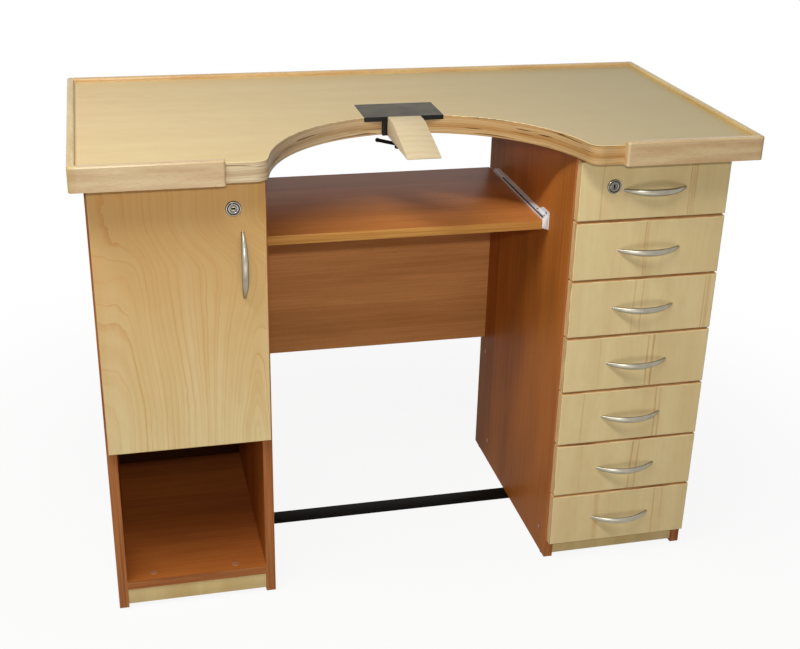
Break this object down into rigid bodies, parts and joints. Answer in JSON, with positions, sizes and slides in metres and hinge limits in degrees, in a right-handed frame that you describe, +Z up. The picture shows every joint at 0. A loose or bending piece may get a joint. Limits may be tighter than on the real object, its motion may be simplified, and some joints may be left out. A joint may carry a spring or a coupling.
{
  "type": "jewelers bench",
  "caption": "Wooden goldsmith's bench with a round cut-out, clamped bench pin, pull-out tray, lockable door over a niche, and a bank of drawers.",
  "frame": {"origin": "on the floor under the middle of the worktop", "axes": "+X to the right as seen by the worker at the cut-out, +Y from the worker's side to the back, +Z up"},
  "size_m": [1.2, 0.61, 0.904],
  "materials": {
    "plywood_top": "clear satin lacquer",
    "solid_trim": "clear satin lacquer",
    "plywood_front": "clear satin lacquer",
    "cherry_laminate": "satin laminate on chipboard",
    "drawer_board": "raw plywood",
    "nickel": "satin nickel",
    "chrome": "polished",
    "zinc": "bright zinc",
    "black_steel": "black powder coat",
    "tool_steel": "dark oiled steel",
    "maple": "raw maple",
    "cap": "steel screw with a plastic cover cap",
    "glide": "moulded"
  },
  "bodies": {
    "root": {"worktop": "plywood_top", "back_edge_trim": "solid_trim", "side_edge_trims": "solid_trim", "front_edge_trims": "solid_trim", "left_outer_side": "cherry_laminate", "left_inner_side": "cherry_laminate", "right_inner_side": "cherry_laminate", "right_outer_side": "cherry_laminate", "cabinet_top_rails": "cherry_laminate", "cabinet_decks": "cherry_laminate", "cabinet_backs": "cherry_laminate", "plinth_boards": "plywood_front", "modesty_panel": "cherry_laminate", "tie_bar": "black_steel", "floor_glides": "glide", "slide_rails": "zinc", "hinge_arms": "nickel", "cabinet_screws": "cap", "bench_anvil": "tool_steel"},
    "door": {"cabinet_door": "plywood_front", "door_handle": "nickel", "door_lock_body": "chrome", "hinge_cups": "nickel"},
    "door_lock_plug": {"door_lock_plug": "chrome"},
    "tray": {"tray_board": "cherry_laminate", "tray_runners": "zinc"},
    "clamp_pad": {"clamp_pad": "tool_steel"},
    "clamp_screw": {"clamp_screw": "tool_steel"},
    "tommy_bar": {"tommy_bar": "tool_steel"},
    "bench_pin": {"bench_pin": "maple"},
    "drawer_1": {"drawer_1_front": "plywood_front", "drawer_1_box": "drawer_board", "drawer_1_handle": "nickel", "drawer_1_runners": "zinc", "drawer_1_lock_body": "chrome"},
    "drawer_2": {"drawer_2_front": "plywood_front", "drawer_2_box": "drawer_board", "drawer_2_handle": "nickel", "drawer_2_runners": "zinc"},
    "drawer_3": {"drawer_3_front": "plywood_front", "drawer_3_box": "drawer_board", "drawer_3_handle": "nickel", "drawer_3_runners": "zinc"},
    "drawer_4": {"drawer_4_front": "plywood_front", "drawer_4_box": "drawer_board", "drawer_4_handle": "nickel", "drawer_4_runners": "zinc"},
    "drawer_5": {"drawer_5_front": "plywood_front", "drawer_5_box": "drawer_board", "drawer_5_handle": "nickel", "drawer_5_runners": "zinc"},
    "drawer_6": {"drawer_6_front": "plywood_front", "drawer_6_box": "drawer_board", "drawer_6_handle": "nickel", "drawer_6_runners": "zinc"},
    "drawer_7": {"drawer_7_front": "plywood_front", "drawer_7_box": "drawer_board", "drawer_7_handle": "nickel", "drawer_7_runners": "zinc"},
    "drawer_1_lock_plug": {"drawer_1_lock_plug": "chrome"}
  },
  "joints": [
    {"name": "door_hinge", "type": "hinge", "parent": "root", "child": "door", "pos_m": [-0.5745, -0.2435, 0.60125], "axis": [0, 0, -1], "range_deg": [0, 105]},
    {"name": "door_lock_turn", "type": "hinge", "parent": "door", "child": "door_lock_plug", "pos_m": [-0.3365, -0.2435, 0.8015], "axis": [0, -1, 0], "range_deg": [0, 90]},
    {"name": "tray_slide", "type": "slide", "parent": "root", "child": "tray", "axis": [0, -1, 0], "range_m": [0, 0.24]},
    {"name": "bench_pin_slide", "type": "slide", "parent": "root", "child": "bench_pin", "axis": [0, -1, 0], "range_m": [0, 0.019]},
    {"name": "clamp_pad_travel", "type": "slide", "parent": "root", "child": "clamp_pad", "axis": [0, 0, -1], "range_m": [0, 0.0045]},
    {"name": "clamp_screw_turn", "type": "hinge", "parent": "clamp_pad", "child": "clamp_screw", "pos_m": [0.002, -0.01, 0.8315], "axis": [0, 0, -1], "range_deg": [0, 1080]},
    {"name": "tommy_bar_slide", "type": "slide", "parent": "clamp_screw", "child": "tommy_bar", "axis": [-0.6884, 0.7254, 0], "range_m": [-0.036, 0.03]},
    {"name": "drawer_1_slide", "type": "slide", "parent": "root", "child": "drawer_1", "axis": [0, -1, 0], "range_m": [0, 0.33]},
    {"name": "drawer_2_slide", "type": "slide", "parent": "root", "child": "drawer_2", "axis": [0, -1, 0], "range_m": [0, 0.33]},
    {"name": "drawer_3_slide", "type": "slide", "parent": "root", "child": "drawer_3", "axis": [0, -1, 0], "range_m": [0, 0.33]},
    {"name": "drawer_4_slide", "type": "slide", "parent": "root", "child": "drawer_4", "axis": [0, -1, 0], "range_m": [0, 0.33]},
    {"name": "drawer_5_slide", "type": "slide", "parent": "root", "child": "drawer_5", "axis": [0, -1, 0], "range_m": [0, 0.33]},
    {"name": "drawer_6_slide", "type": "slide", "parent": "root", "child": "drawer_6", "axis": [0, -1, 0], "range_m": [0, 0.33]},
    {"name": "drawer_7_slide", "type": "slide", "parent": "root", "child": "drawer_7", "axis": [0, -1, 0], "range_m": [0, 0.33]},
    {"name": "drawer_1_lock_turn", "type": "hinge", "parent": "drawer_1", "child": "drawer_1_lock_plug", "pos_m": [0.3475, -0.2435, 0.805], "axis": [0, -1, 0], "range_deg": [0, 90]}
  ],
  "couplings": [
    {"joint": "clamp_pad_travel", "follows": "clamp_screw_turn", "m_per_rad": 0.00023873}
  ]
}
